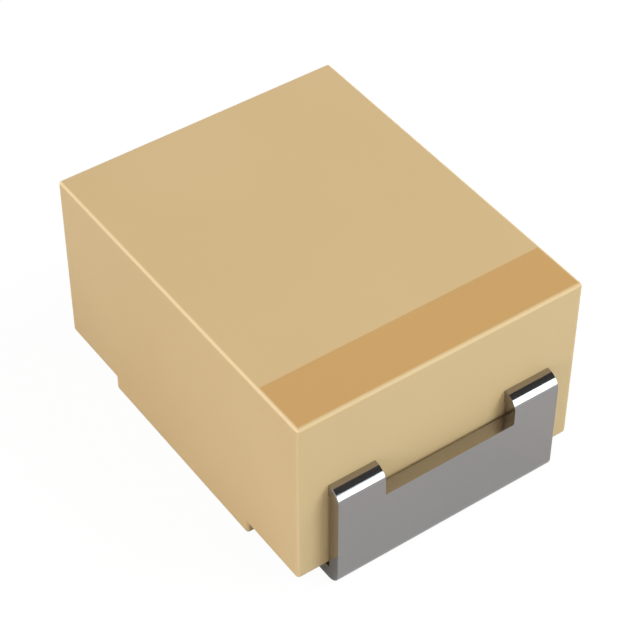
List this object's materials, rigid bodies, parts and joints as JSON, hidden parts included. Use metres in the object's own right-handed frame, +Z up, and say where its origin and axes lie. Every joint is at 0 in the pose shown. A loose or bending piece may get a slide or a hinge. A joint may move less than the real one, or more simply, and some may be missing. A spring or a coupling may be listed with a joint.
{
  "type": "tantalum capacitor",
  "caption": "Moulded surface-mount tantalum chip capacitor: tan epoxy block with a polarity bar, glue pedestal and folded forked leads that end in solder pads.",
  "frame": {"origin": "on the seating plane (the board), under the middle of the part's outline", "axes": "+X towards the anode end, where the polarity bar is; +Y across the width; +Z up, away from the board"},
  "size_m": [0.0036, 0.0028, 0.0018],
  "materials": {
    "moulded_epoxy": "fine satin moulded epoxy, tan",
    "polarity_mark": "flat marked field, golden brown",
    "tin_plated_lead": "smooth satin tin plate over nickel-iron strip",
    "sintered_tantalum": "porous sintered metal, blue grey",
    "tantalum_metal": "drawn wire, dark grey",
    "manganese_dioxide": "granular black oxide",
    "carbon_coat": "matt graphite coat",
    "silver_coat": "flaked silver paint",
    "silver_adhesive": "cured silver-filled epoxy",
    "fluoropolymer": "waxy white"
  },
  "bodies": {
    "root": {"case": "moulded_epoxy", "polarity_bar": "polarity_mark", "anode_lead": "tin_plated_lead", "cathode_lead": "tin_plated_lead", "tantalum_pellet": "sintered_tantalum", "tantalum_wire": "tantalum_metal", "manganese_dioxide": "manganese_dioxide", "carbon_layer": "carbon_coat", "silver_layer": "silver_coat", "silver_adhesive": "silver_adhesive", "insulating_washer": "fluoropolymer"}
  },
  "joints": []
}
